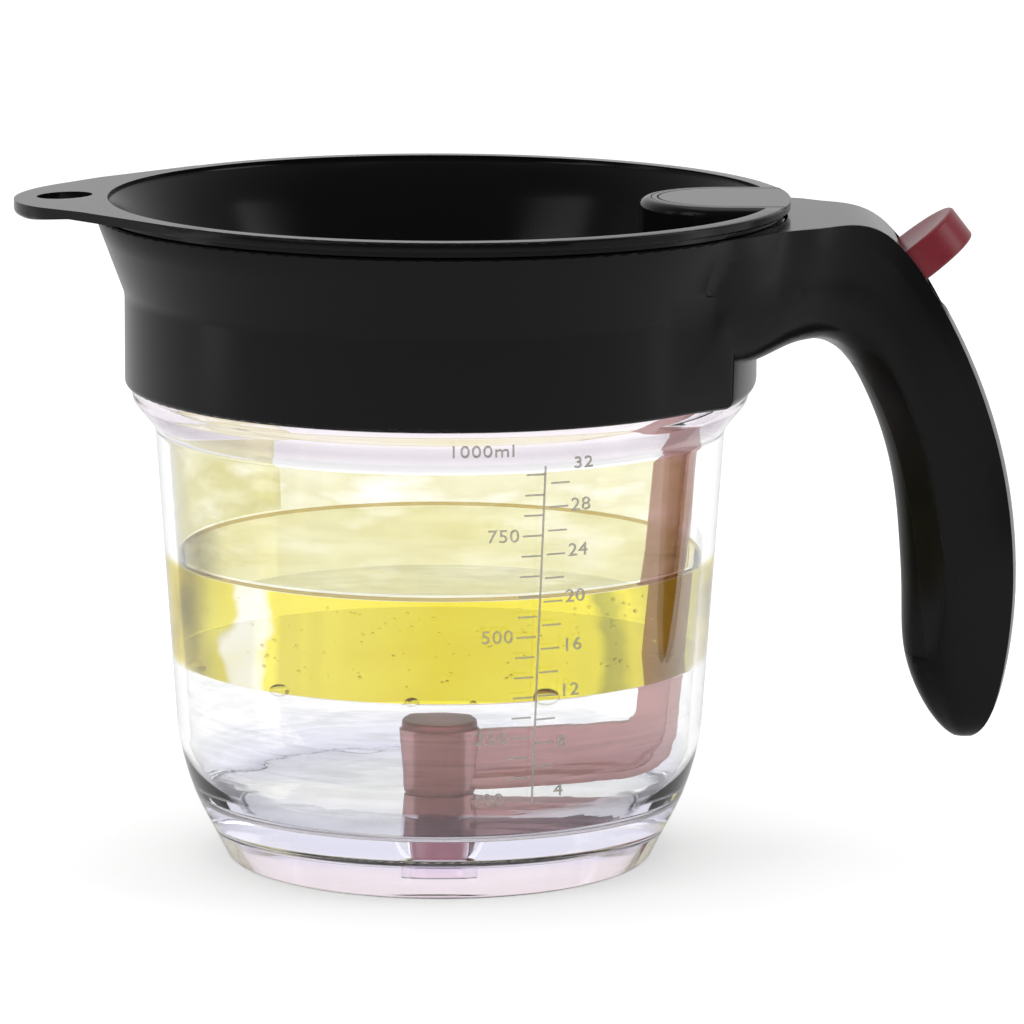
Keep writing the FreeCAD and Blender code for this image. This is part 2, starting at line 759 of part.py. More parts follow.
def make_plug():
    """Silicone plug: cap over the barrel, stem through it, taper in the drain."""
    floor_gap = floor_top + seat_gap
    tip_z = floor_bottom + 0.4
    return turned([
        (0, tip_z),
        (plug_tip_radius, tip_z, 0.5),
        (plug_seat_radius, floor_gap),
        (plug_stem_radius, floor_gap),
        (plug_stem_radius, barrel_top),
        (plug_cap_radius, barrel_top),
        (plug_cap_radius, barrel_top + plug_cap_height, 0.9),
        (0, barrel_top + plug_cap_height),
    ])


# ---------------------------------------------------------------- strainer
def bowl_profile(inset):
    """Outside of the bowl from the rim to the floor, moved in by an inset."""
    top_radius = collar_top_radius - flare_wall - 0.5 - inset
    waist_radius = neck_inner - 0.5 - inset
    return [
        (top_radius, collar_top + seat_gap),
        (waist_radius, ledge_top + 0.6, 6.0),
        (strainer_floor_radius + 3.4 - inset, strainer_floor + inset, 7.0),
        (0, strainer_floor + inset),
    ]


def hood_form(radius, z_low, z_high, edge):
    """Pill-ended block that runs from the hood's round end to the rim."""
    half = [(0, z_low), (radius, z_low), (radius, z_high, edge), (0, z_high)]
    left = Part.Face(outline(half)).revolve(ORIGIN, AXIS, 180)
    left.rotate(ORIGIN, AXIS, 90)
    left.translate(xz(hood_centre, 0))
    full = [(-radius, z_high, edge), (-radius, z_low), (radius, z_low), (radius, z_high, edge)]
    straight = Part.Face(outline(full)).extrude(ACROSS * -(rim_radius + 8 - hood_centre))
    straight.rotate(ORIGIN, AXIS, 90)
    straight.translate(xz(hood_centre, 0))
    return left.fuse(straight)


def make_strainer():
    step_radius = rim_radius - rim_overlap
    rim_bottom = rim_top - rim_thickness
    step_bottom = collar_top + seat_gap
    hull = turned([
        (0, rim_top),
        (rim_radius, rim_top, 0.5),
        (rim_radius, rim_bottom, 0.4),
        (step_radius, rim_bottom),
        (step_radius, step_bottom),
    ] + bowl_profile(0.0))
    hollow = turned([
        (0, rim_top + 1),
        (rim_radius - rim_width, rim_top + 1),
        (rim_radius - rim_width, rim_top - 1.2, 1.0),
    ] + bowl_profile(strainer_wall))
    hood = hood_form(hood_radius, strainer_floor, rim_top, hood_edge).common(hull)
    inner_top = collar_top + seat_gap
    hood_hollow = hood_form(hood_radius - hood_wall, strainer_floor - 1, inner_top, 1.0)
    rebate = hood_form(cap_radius + cap_gap, rim_top - cap_thickness, rim_top + 5, 0)
    hatch = hood_form(cap_radius - 1.6, inner_top - 1, rim_top + 1, 0)
    hatch = hatch.common(upright(step_radius - 4.0, 0, rim_top + 5))
    body = hull.fuse(make_tab()).cut(hollow).fuse(hood)
    body = body.cut(hood_hollow).cut(rebate).cut(hatch)
    body = body.cut(upright(tab_hole_radius, 0, rim_top + 5, tab_hole_inset - tab_end, 0))
    return body.cut(make_perforations())


def make_tab():
    """Hanging tab: straight sides run from its blunt round end to the rim, and it thickens
    and droops a little towards the end."""
    inside_rim = rim_radius - moulding_gap
    centre = tab_end - tab_tip_radius
    share = (inside_rim - tab_tip_radius) / centre
    rise = math.sqrt(1 - share * share)
    low = rim_top - tab_droop - tab_tip_thickness
    corners = []
    for side in (1, -1):
        corners.append(xz(-inside_rim * share, low, side * inside_rim * rise))
        corners.append(xz(-centre - tab_tip_radius * share, low, side * tab_tip_radius * rise))
    tip = xz(-tab_end, low)
    wire = Part.Wire([
        Part.LineSegment(corners[0], corners[1]).toShape(),
        Part.Arc(corners[1], tip, corners[3]).toShape(),
        Part.LineSegment(corners[3], corners[2]).toShape(),
        Part.LineSegment(corners[2], corners[0]).toShape(),
    ])
    plan = Part.Face(wire).extrude(AXIS * (rim_top - low))
    plan = rounded(plan, tab_edge, lambda e: e.BoundBox.ZMax < low + 0.01
                   and e.BoundBox.XMax < corners[0].x + 0.01 and e.BoundBox.XLength > tab_edge)
    side_view = slab([
        (0, rim_top),
        (-rim_radius, rim_top),
        (-tab_end - moulding_gap, rim_top - tab_droop),
        (-tab_end - moulding_gap, low),
        (-tab_end + tab_tip_thickness, low),
        (-rim_radius - tab_tip_thickness, rim_top - rim_thickness + moulding_gap),
        (0, rim_top - rim_thickness + moulding_gap),
    ], rim_radius)
    return plan.common(side_view)


def make_perforations():
    """Rings of round holes in the bowl's floor, clear of the hood."""
    holes = []
    ring_count = int((strainer_floor_radius - 6.0) / strainer_hole_pitch)
    for ring in range(ring_count + 1):
        radius = ring * strainer_hole_pitch
        count = max(1, int(2 * math.pi * radius / strainer_hole_pitch))
        for k in range(count):
            angle = 2 * math.pi * k / count + 0.5 * ring
            x = radius * math.cos(angle)
            y = radius * math.sin(angle)
            clear = hood_radius + strainer_hole_radius + 1.2
            if x > hood_centre and abs(y) < clear:
                continue
            if math.hypot(x - hood_centre, y) < clear:
                continue
            holes.append(upright(strainer_hole_radius, strainer_floor - 1,
                                 strainer_floor + strainer_wall + 1, x, y))
    return Part.makeCompound(holes)


def make_cap():
    plate = hood_form(cap_radius, rim_top - cap_thickness, rim_top, 0)
    low = rim_top - cap_groove_depth
    groove = hood_form(cap_groove_radius + cap_groove_width, low, rim_top + 1, 0)
    groove = groove.cut(hood_form(cap_groove_radius, low - 1, rim_top + 2, 0))
    return plate.cut(groove).common(upright(rim_radius, 0, rim_top))


def main():
    os.makedirs("parts", exist_ok=True)
    form = make_handle_form()
    save("jug", make_jug())
    save("neck_seal", make_seal())
    save("collar", make_collar(form))
    save("handle_cover", make_cover_layer(form, 0.0))
    save("palm_insert", make_grip_insert(form))
    save("mechanism_bridge", make_bridge())
    save("bridge_screws", make_bridge_screws())
    save("lever_pin", make_pin())
    save("thumb_lever", make_lever())
    save("lift_carriage", make_carriage())
    save("return_spring", make_spring())
    save("lift_arm", make_arm())
    save("drain_plug", make_plug())
    save("strainer", make_strainer())
    save("strainer_cap", make_cap())


main()
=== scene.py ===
import math
import random

import bpy
from mathutils import Matrix, Vector


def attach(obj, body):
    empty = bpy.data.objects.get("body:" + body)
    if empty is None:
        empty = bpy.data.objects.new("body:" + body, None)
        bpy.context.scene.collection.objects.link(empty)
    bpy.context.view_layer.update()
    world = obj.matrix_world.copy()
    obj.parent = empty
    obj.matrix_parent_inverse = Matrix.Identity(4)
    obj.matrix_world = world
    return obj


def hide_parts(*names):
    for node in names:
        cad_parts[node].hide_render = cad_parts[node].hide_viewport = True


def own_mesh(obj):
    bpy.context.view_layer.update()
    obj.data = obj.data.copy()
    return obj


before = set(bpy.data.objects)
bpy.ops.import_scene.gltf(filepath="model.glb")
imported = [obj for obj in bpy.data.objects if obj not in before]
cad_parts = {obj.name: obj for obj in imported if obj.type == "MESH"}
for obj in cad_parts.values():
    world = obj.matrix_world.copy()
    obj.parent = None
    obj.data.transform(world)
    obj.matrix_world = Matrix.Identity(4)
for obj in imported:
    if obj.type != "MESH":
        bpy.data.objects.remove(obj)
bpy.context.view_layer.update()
bpy.ops.object.select_all(action="DESELECT")

MM = 0.001
FULL_TURN = 2.0 * math.pi
AXIS_Z = (0.0, 0.0, 1.0)

# Bodies of the frame that pieces ride on
JUG_BODY = "jug_body"
LEVER_BODY = "lever"
PLUG_BODY = "plug_lift"
STRAINER_BODY = "strainer_top"

# Clear jug, in millimetres
FOOT_RADIUS = 48.4
FOOT_WIDTH = 3.6
HEEL_RADIUS = 59.4
HEEL_HEIGHT = 21.1
HEEL_BEND = 48.0
SHOULDER_RADIUS = 64.7
SHOULDER_HEIGHT = 99.6
JUG_WALL = 2.6
FLOOR_TOP = 14.6
FLOOR_BOTTOM = 10.0
NECK_RADIUS = 68.6
NECK_WALL = 2.4
NECK_TOP = 124.3
FLANGE_RADIUS = 69.9
FLANGE_TOP = 108.78
FLANGE_RISE = 6.4
INNER_SHOULDER_RISE = 1.0
INNER_NECK_RISE = 7.5
FLOOR_BEND = 3.5
FLOOR_MATCH = 0.02
DRAIN_EDGE = 0.4
FOOT_STEP = 1.2
DRAIN_RADIUS = 6.35
SEAT_RADIUS = 7.55
SPOUT_WALL = 2.2
SPOUT_DROP = 5.5

# Stock, fat and the smear above them, in millimetres and degrees from +X
BROTH_TOP = 46.6
OIL_TOP = 70.0
LIQUID_GAP = 0.12
MENISCUS = 0.9
MENISCUS_TIP = 0.3
FILM_FOOT = 71.5
FILM_TOP = 98.5
FILM_THICKNESS = 0.2
FILM_START = -25.0
FILM_SWEEP = 205.0

# Bubbles, in millimetres and degrees from -Y towards +X
BUBBLE_SEED = 4
SMALL_BUBBLES = 110
SMALL_SPREAD = (-52.0, 58.0)
SMALL_DEPTH = (2.0, 9.0)
SMALL_SIZE = (0.18, 0.50)
SMALL_MARGIN = 3.0
SMALL_FLATNESS = 0.9
LARGE_BUBBLES = ((-71.0, 2.0), (-38.0, 2.2), (-5.5, 1.6), (25.5, 3.0), (8.0, 0.8))
LARGE_RISE = 0.2
LARGE_DEPTH = 0.4
LARGE_FLATNESS = 0.62
FINE_FROM = 0.8

# Turned pieces: steps of a turn, and the angles in degrees up to which they shade smooth
TURN_STEPS = 180
PART_TURN_STEPS = 100
BEND_STEP = 7
CLEAR_SMOOTH = 40
MENISCUS_SMOOTH = 60
BUBBLE_SMOOTH = 80
FRAME_SMOOTH = 30
SAME_POINT = 1e-6
SAME_POINT_IN_FRAME = 2e-6


# ------------------------------------------------------------------ modelling
def start_fresh():
    if bpy.context.object and bpy.context.object.mode != "OBJECT":
        bpy.ops.object.mode_set(mode="OBJECT")
    bpy.ops.object.select_all(action="DESELECT")


def pick(obj):
    start_fresh()
    obj.select_set(True)
    bpy.context.view_layer.objects.active = obj


def open_mesh(obj):
    pick(obj)
    bpy.ops.object.mode_set(mode="EDIT")
    bpy.ops.mesh.select_mode(type="VERT")


def close_mesh():
    bpy.ops.object.mode_set(mode="OBJECT")


def settle(obj):
    """Puts the object's place into its mesh."""
    pick(obj)
    bpy.ops.object.transform_apply(location=True, rotation=True, scale=True)


def select_vertices(obj, wanted):
    """Selects the vertices that pass the test, with the mesh open."""
    bpy.ops.mesh.select_all(action="DESELECT")
    bpy.ops.object.mode_set(mode="OBJECT")
    for vertex in obj.data.vertices:
        vertex.select = wanted(vertex)
    bpy.ops.object.mode_set(mode="EDIT")


def apply_all(obj):
    pick(obj)
    for modifier in list(obj.modifiers):
        bpy.ops.object.modifier_apply(modifier=modifier.name)


def smooth(obj, degrees):
    pick(obj)
    bpy.ops.object.shade_smooth_by_angle(angle=math.radians(degrees))


def joined(pieces, name):
    """The pieces as one object."""
    start_fresh()
    for piece in pieces:
        piece.select_set(True)
    bpy.context.view_layer.objects.active = pieces[0]
    bpy.ops.object.join()
    obj = bpy.context.object
    obj.name = name
    return obj


def tidy_normals(obj):
    open_mesh(obj)
    bpy.ops.mesh.select_all(action="SELECT")
    bpy.ops.mesh.remove_doubles(threshold=SAME_POINT)
    bpy.ops.mesh.normals_make_consistent(inside=False)
    close_mesh()


def drawn_outline(name, corners):
    """Closed outline in the XZ plane.  A corner is (x, z) or (x, z, rounding), in millimetres."""
    first = corners[0]
    bpy.ops.mesh.primitive_plane_add(size=MM, location=(first[0] * MM, 0, first[1] * MM))
    obj = bpy.context.object
    obj.name = name
    settle(obj)
    open_mesh(obj)
    bpy.ops.mesh.select_all(action="SELECT")
    bpy.ops.mesh.merge(type="CENTER")
    for here, after in zip(corners, corners[1:]):
        step = ((after[0] - here[0]) * MM, 0, (after[1] - here[1]) * MM)
        bpy.ops.mesh.extrude_region_move(TRANSFORM_OT_translate={"value": step})
    bpy.ops.mesh.select_all(action="SELECT")
    bpy.ops.mesh.edge_face_add()
    close_mesh()
    places = [Vector((c[0], 0, c[1])) * MM for c in corners]
    for i, corner in enumerate(corners):
        if len(corner) < 3 or corner[2] <= 0:
            continue
        before = places[i - 1] - places[i]
        after = places[(i + 1) % len(places)] - places[i]
        half = before.angle(after) / 2
        reach = min(corner[2] * MM / math.tan(half), 0.49 * before.length, 0.49 * after.length)
        turn = math.pi - 2 * half
        segments = max(3, int(math.degrees(turn) / BEND_STEP) + 2)
        open_mesh(obj)
        select_vertices(obj, lambda v: (v.co - places[i]).length < SAME_POINT)
        bpy.ops.mesh.bevel(offset=reach, segments=segments, affect="VERTICES", profile=0.5)
        close_mesh()
    return obj


def turned(name, corners):
    """Outline spun once round the jug's axis."""
    obj = drawn_outline(name, corners)
    open_mesh(obj)
    bpy.ops.mesh.select_all(action="SELECT")
    bpy.ops.mesh.delete(type="ONLY_FACE")
    bpy.ops.mesh.select_all(action="SELECT")
    bpy.ops.mesh.spin(steps=TURN_STEPS, angle=FULL_TURN, center=(0, 0, 0), axis=AXIS_Z)
    close_mesh()
    tidy_normals(obj)
    return obj


def part_turned(name, corners, start, sweep):
    """Outline turned part of the way round the jug's axis, with its ends closed (degrees)."""
    obj = drawn_outline(name, corners)
    pick(obj)
    obj.rotation_euler = (0, 0, math.radians(start))
    settle(obj)
    open_mesh(obj)
    bpy.ops.mesh.select_all(action="SELECT")
    bpy.ops.mesh.spin(steps=PART_TURN_STEPS, angle=math.radians(sweep), center=(0, 0, 0),
                      axis=AXIS_Z)
    close_mesh()
    tidy_normals(obj)
    return obj


def finished_copy(node, name, body, slot):
    """The frame's own solid with its triangles joined and its curves shaded smooth."""
    pick(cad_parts[node])
    bpy.ops.object.duplicate()
    obj = bpy.context.object
    obj.name = name
    open_mesh(obj)
    bpy.ops.mesh.select_all(action="SELECT")
    bpy.ops.mesh.remove_doubles(threshold=SAME_POINT_IN_FRAME)
    close_mesh()
    if obj.data.has_custom_normals:
        bpy.ops.mesh.customdata_custom_splitnormals_clear()
    smooth(obj, FRAME_SMOOTH)
    place(obj, body, slot, node)
    return obj


def place(obj, body, slot, *nodes):
    """Hangs the piece on the body it rides on, and hides the solids it stands for."""
    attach(obj, body)
    if nodes:
        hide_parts(*nodes)


def coat(obj, material):
    obj.data.materials.clear()
    obj.data.materials.append(material)


# ------------------------------------------------------------------ finishes
# Grain: detail of the noise and strength of the bump
GRAIN_DETAIL = 4
GRAIN_STRENGTH = 0.5

# Colours of the clear pieces change over these lengths, in millimetres
TINT_TOP = 110.0
LEVEL_BLUR = 0.3
# Side bands of painted refraction of the fat, X from outer to inner edge
PAINTED_REFRACTION_SIDES = ((-59.0, -52.0), (62.0, 57.0))
# Span in X of the fat's front colours, with their painted highlight and painted shade
FAT_LEFT = -68.0
FAT_RIGHT = 56.0
FAT_WANDER = 0.10
FAT_BEHIND = 6.0
FAT_UNDERSIDE = (0.16, 0.24)
FAT_TOPSIDE = (0.06, 0.02)
STOCK_RIPPLE = 1.6
STOCK_RIPPLE_STRENGTH = 0.6


def new_finish(name):
    material = bpy.data.materials.new(name)
    material.use_nodes = True
    nodes = material.node_tree.nodes
    shader = nodes["Principled BSDF"]
    return material, nodes, material.node_tree.links, shader


def grain(nodes, links, shader, scale, depth, low, high, stretch=(1, 1, 1)):
    """Fine moulded grain: a little roughness change and a shallow bump."""
    coords = nodes.new("ShaderNodeTexCoord")
    mapping = nodes.new("ShaderNodeMapping")
    mapping.inputs["Scale"].default_value = stretch
    noise = nodes.new("ShaderNodeTexNoise")
    noise.inputs["Scale"].default_value = scale
    noise.inputs["Detail"].default_value = GRAIN_DETAIL
    spread = nodes.new("ShaderNodeMapRange")
    spread.inputs["To Min"].default_value = low
    spread.inputs["To Max"].default_value = high
    bump = nodes.new("ShaderNodeBump")
    bump.inputs["Distance"].default_value = depth
    bump.inputs["Strength"].default_value = GRAIN_STRENGTH
    links.new(coords.outputs["Object"], mapping.inputs["Vector"])
    links.new(mapping.outputs["Vector"], noise.inputs["Vector"])
    links.new(noise.outputs["Fac"], spread.inputs["Value"])
    links.new(spread.outputs["Result"], shader.inputs["Roughness"])
    links.new(noise.outputs["Fac"], bump.inputs["Height"])
    links.new(bump.outputs["Normal"], shader.inputs["Normal"])
    return noise


def moulded_black(name, low=0.20, high=0.26, tone=0.004, sheen=0.15):
    """Black moulding, with its roughness between low and high."""
    material, nodes, links, shader = new_finish(name)
    shader.inputs["Base Color"].default_value = (tone, tone, tone * 1.06, 1)
    shader.inputs["Specular IOR Level"].default_value = sheen
    grain(nodes, links, shader, 2200, 0.00002, low, high)
    return material


def moulded_red(name):
    """Red moulding with a faint cloud in its colour."""
    material, nodes, links, shader = new_finish(name)
    shader.inputs["Specular IOR Level"].default_value = 0.25
    noise = grain(nodes, links, shader, 900, 0.00002, 0.26, 0.32)
    ramp = ramp_of(nodes, [(0.0, (0.150, 0.014, 0.022)), (1.0, (0.185, 0.019, 0.028))])
    links.new(noise.outputs["Fac"], ramp.inputs["Fac"])
    links.new(ramp.outputs["Color"], shader.inputs["Base Color"])
    return material


def clear_finish(name, ior, rough=0.0, sheen=0.5):
    """Shader for what light passes through, with its colour still to be linked."""
    material, nodes, links, shader = new_finish(name)
    shader.inputs["Transmission Weight"].default_value = 1.0
    shader.inputs["IOR"].default_value = ior
    shader.inputs["Roughness"].default_value = rough
    shader.inputs["Specular IOR Level"].default_value = sheen
    return material, nodes, links, shader


def ramp_of(nodes, stops):
    """Colour ramp with a stop for each (place, colour)."""
    ramp = nodes.new("ShaderNodeValToRGB")
    elements = ramp.color_ramp.elements
    for i, (place_at, colour) in enumerate(stops):
        if i < 2:
            elements[i].position = place_at
        else:
            elements.new(place_at)
        elements[i].color = (*colour, 1)
    return ramp


def place_axis(nodes, links, axis, low, high):
    """Object coordinate along one axis, from 0 at the low place to 1 at the high one (mm)."""
    coords = nodes.new("ShaderNodeTexCoord")
    parts = nodes.new("ShaderNodeSeparateXYZ")
    spread = nodes.new("ShaderNodeMapRange")
    spread.inputs["From Min"].default_value = low * MM
    spread.inputs["From Max"].default_value = high * MM
    links.new(coords.outputs["Object"], parts.inputs["Vector"])
    links.new(parts.outputs[axis], spread.inputs["Value"])
    return spread.outputs["Result"]


def streaks(nodes, links, scale, stretch, detail=3):
    """Noise on Object coordinates, drawn out along the directions with small stretch."""
    coords = nodes.new("ShaderNodeTexCoord")
    mapping = nodes.new("ShaderNodeMapping")
    mapping.inputs["Scale"].default_value = stretch
    noise = nodes.new("ShaderNodeTexNoise")
    noise.inputs["Scale"].default_value = scale
    noise.inputs["Detail"].default_value = detail
    links.new(coords.outputs["Object"], mapping.inputs["Vector"])
    links.new(mapping.outputs["Vector"], noise.inputs["Vector"])
    return noise.outputs["Fac"]


def blended(nodes, links, factor, first, second):
    """Two colours mixed by a factor."""
    mix = nodes.new("ShaderNodeMix")
    mix.data_type = "RGBA"
    for value, socket in ((factor, mix.inputs[0]), (first, mix.inputs[6]), (second, mix.inputs[7])):
        if isinstance(value, (int, float)):
            socket.default_value = value
        elif isinstance(value, tuple):
            socket.default_value = (*value, 1)
        else:
            links.new(value, socket)
    return mix.outputs[2]


def clear_jug_finish():
    """Clear plastic with a lavender cast in the foot and a mauve one in the shoulder."""
    material, nodes, links, shader = clear_finish("clear_plastic", 1.45, sheen=0.3)
    ramp = ramp_of(nodes, [
        (0.00, (0.96, 0.90, 0.93)),
        (0.05, (0.97, 0.92, 0.96)),
        (0.11, (0.80, 0.79, 0.94)),
        (0.17, (0.86, 0.86, 0.96)),
        (0.23, (0.985, 0.985, 0.99)),
        (0.90, (0.985, 0.985, 0.985)),
        (0.94, (0.74, 0.68, 0.74)),
        (0.97, (0.90, 0.86, 0.90)),
        (1.00, (0.72, 0.65, 0.72)),
    ])
    links.new(place_axis(nodes, links, "Z", 0.0, TINT_TOP), ramp.inputs["Fac"])
    # Painted refraction: the fat's gold painted on the wall's far sides
    tint = painted_fat_refraction(nodes, links, ramp.outputs["Color"])
    links.new(tint, shader.inputs["Base Color"])
    return material


def painted_fat_refraction(nodes, links, tint):
    """Level with the fat, the wall's two far sides carry a painted refraction of its gold, streaked
    dark and gold.
    """
    for outer, inner in PAINTED_REFRACTION_SIDES:
        gold = ramp_of(nodes, [(0.36, (0.13, 0.11, 0.02)), (0.60, (0.66, 0.54, 0.08))])
        links.new(streaks(nodes, links, 30, (1.0, 1.0, 2.6), 4), gold.inputs["Fac"])
        above_broth = place_axis(nodes, links, "Z", BROTH_TOP - LEVEL_BLUR, BROTH_TOP + LEVEL_BLUR)
        above_fat = place_axis(nodes, links, "Z", OIL_TOP - LEVEL_BLUR, OIL_TOP + LEVEL_BLUR)
        band = blended(nodes, links, above_broth, tint, gold.outputs["Color"])
        band = blended(nodes, links, above_fat, band, tint)
        tint = blended(nodes, links, place_axis(nodes, links, "X", outer, inner), band, tint)
    return tint


def wetted_floor_finish():
    """Floor of the jug under the stock, where clear meets clear and nothing is mirrored."""
    material, _, _, shader = clear_finish("wetted_floor", 1.04, sheen=0.1)
    shader.inputs["Base Color"].default_value = (0.97, 0.97, 0.99, 1)
    return material


def broth_finish():
    """Clear stock with faint level streaks."""
    material, nodes, links, shader = clear_finish("clear_broth", 1.03)
    ramp = ramp_of(nodes, [
        (0.40, (0.99, 0.99, 0.985)),
        (0.49, (0.82, 0.83, 0.81)),
        (0.55, (0.98, 0.98, 0.97)),
        (0.61, (0.72, 0.73, 0.71)),
        (0.66, (0.98, 0.98, 0.96)),
    ])
    noise = streaks(nodes, links, 11, (1.0, 1.0, 15.0), 4)
    links.new(noise, ramp.inputs["Fac"])
    links.new(ramp.outputs["Color"], shader.inputs["Base Color"])
    bump = nodes.new("ShaderNodeBump")
    bump.inputs["Distance"].default_value = STOCK_RIPPLE * MM
    bump.inputs["Strength"].default_value = STOCK_RIPPLE_STRENGTH
    links.new(noise, bump.inputs["Height"])
    links.new(bump.outputs["Normal"], shader.inputs["Normal"])
    return material


def fat_finish():
    """Golden fat: deep in front, with one painted highlight streak and painted shade at both ends,
    paler behind, nearly clear on top.
    """
    material, nodes, links, shader = clear_finish("golden_fat", 1.03)
    wander = nodes.new("ShaderNodeMath")
    wander.operation = "MULTIPLY_ADD"
    wander.inputs[1].default_value = FAT_WANDER
    links.new(streaks(nodes, links, 35, (1.0, 1.0, 2.0)), wander.inputs[0])
    links.new(place_axis(nodes, links, "X", FAT_LEFT, FAT_RIGHT), wander.inputs[2])
    # Across the front: painted shade at the left end, a near-white painted highlight streak, then
    # gold, with painted shade bands at the right end
    front = ramp_of(nodes, [
        (0.15, (0.30, 0.24, 0.004)),
        (0.225, (0.62, 0.52, 0.01)),
        (0.240, (0.99, 0.98, 0.90)),
        (0.285, (0.99, 0.98, 0.90)),
        (0.30, (0.86, 0.68, 0.02)),
        (0.60, (0.74, 0.55, 0.001)),
        (0.870, (0.78, 0.62, 0.006)),
        (0.890, (0.24, 0.21, 0.006)),
        (0.915, (0.30, 0.26, 0.006)),
        (0.935, (0.72, 0.56, 0.006)),
        (0.99, (0.30, 0.25, 0.006)),
    ])
    links.new(wander.outputs["Value"], front.inputs["Fac"])
    patches = ramp_of(nodes, [(0.35, (0.86, 0.80, 0.42)), (0.62, (0.97, 0.96, 0.80))])
    links.new(streaks(nodes, links, 22, (1.0, 1.0, 3.0)), patches.inputs["Fac"])
    behind = place_axis(nodes, links, "Y", -FAT_BEHIND, FAT_BEHIND)
    sides = blended(nodes, links, behind, front.outputs["Color"], patches.outputs["Color"])
    swirls = ramp_of(nodes, [(0.42, (0.97, 0.96, 0.86)), (0.56, (0.90, 0.88, 0.70))])
    links.new(streaks(nodes, links, 40, (0.6, 1.4, 1.0), 5), swirls.inputs["Fac"])
    low, high = FAT_UNDERSIDE
    off_bottom = place_axis(nodes, links, "Z", BROTH_TOP + low, BROTH_TOP + high)
    sides = blended(nodes, links, off_bottom, (0.97, 0.95, 0.80), sides)
    low, high = FAT_TOPSIDE
    on_top = place_axis(nodes, links, "Z", OIL_TOP - low, OIL_TOP - high)
    whole = blended(nodes, links, on_top, sides, swirls.outputs["Color"])
    links.new(whole, shader.inputs["Base Color"])
    return material


def film_finish():
    """Thin patchy smear of fat that clings to the wall above the fat."""
    material, nodes, links, shader = clear_finish("fat_smear", 1.03)
    patches = ramp_of(nodes, [
        (0.36, (0.97, 0.96, 0.88)),
        (0.47, (0.80, 0.77, 0.50)),
        (0.58, (0.86, 0.84, 0.60)),
        (0.70, (0.97, 0.96, 0.88)),
    ])
    links.new(streaks(nodes, links, 26, (1.0, 1.0, 3.4), 4), patches.inputs["Fac"])
    links.new(patches.outputs["Color"], shader.inputs["Base Color"])
    return material


def plain_clear(name, colour, ior):
    material, _, _, shader = clear_finish(name, ior)
    shader.inputs["Base Color"].default_value = (*colour, 1)
    return material


def milky_red(name, colour, clearness, rough):
    """Red moulding that lets some light through."""
    material, nodes, links, shader = new_finish(name)
    shader.inputs["Base Color"].default_value = (*colour, 1)
    shader.inputs["Transmission Weight"].default_value = clearness
    shader.inputs["IOR"].default_value = 1.25
    grain(nodes, links, shader, 300, 0.00001, rough, rough + 0.04)
    return material


def grey_shaded_mark_finish():
    """Raised clear marks, coloured grey all over as painted shade for the dark look of their edges.
    """
    material, _, _, shader = new_finish("raised_marks")
    # Grey base colour: painted shade on clear marks
    shader.inputs["Base Color"].default_value = (0.60, 0.58, 0.54, 1)
    shader.inputs["Transmission Weight"].default_value = 0.6
    shader.inputs["Roughness"].default_value = 0.25
    shader.inputs["IOR"].default_value = 1.3
    return material


def steel(name):
    material, nodes, links, shader = new_finish(name)
    shader.inputs["Base Color"].default_value = (0.62, 0.62, 0.63, 1)
    shader.inputs["Metallic"].default_value = 1.0
    grain(nodes, links, shader, 700, 0.00001, 0.22, 0.34, (1, 1, 12))
    return material


def silicone(name, colour):
    material, nodes, links, shader = new_finish(name)
    shader.inputs["Base Color"].default_value = (*colour, 1)
    grain(nodes, links, shader, 1200, 0.00002, 0.42, 0.52)
    return material


BLACK = moulded_black("black_moulded")
BLACK_COVER = moulded_black("black_cover", 0.16, 0.20)
BLACK_GRIP = moulded_black("black_soft_grip", 0.30, 0.36)
BLACK_STRAINER = moulded_black("black_strainer", 0.15, 0.20)
GREY_BRIDGE = moulded_black("grey_bridge", 0.5, 0.6, 0.03)
RED = moulded_red("red_moulded")
RED_MILKY = milky_red("red_milky", (0.99, 0.60, 0.60), 0.56, 0.30)
PLUG_RED = milky_red("plug_silicone", (1.0, 0.48, 0.48), 0.62, 0.30)
SEAL_GREY = silicone("seal_silicone", (0.6, 0.6, 0.6))
STEEL = steel("bright_steel")
CLEAR = clear_jug_finish()
WETTED = wetted_floor_finish()
BROTH = broth_finish()
FAT = fat_finish()
FAT_FILM = film_finish()
FAT_EDGE = plain_clear("fat_edge", (0.62, 0.50, 0.22), 1.05)
AIR = plain_clear("air_bubble", (0.98, 0.98, 0.96), 1.22)
MARKS_PAINTED_SHADE = grey_shaded_mark_finish()


# ------------------------------------------------------------------ clear jug
def jug_inner_line():
    """Inside of the jug, from the floor to above the shoulder."""
    wall_slope = (SHOULDER_RADIUS - HEEL_RADIUS) / (SHOULDER_HEIGHT - HEEL_HEIGHT)
    heel_lean = (HEEL_RADIUS - FOOT_RADIUS) / HEEL_HEIGHT
    heel_height = HEEL_HEIGHT + JUG_WALL
    heel_radius = HEEL_RADIUS - JUG_WALL + wall_slope * JUG_WALL
    floor_radius = heel_radius - heel_lean * (heel_height - FLOOR_TOP)
    return heel_radius, heel_height, floor_radius


def wet_the_floor(jug):
    """Gives the floor under the stock its own finish."""
    jug.data.materials.append(WETTED)
    floor = FLOOR_TOP * MM
    for face in jug.data.polygons:
        heights = [jug.data.vertices[index].co.z for index in face.vertices]
        if max(abs(height - floor) for height in heights) < FLOOR_MATCH * MM:
            face.material_index = 1


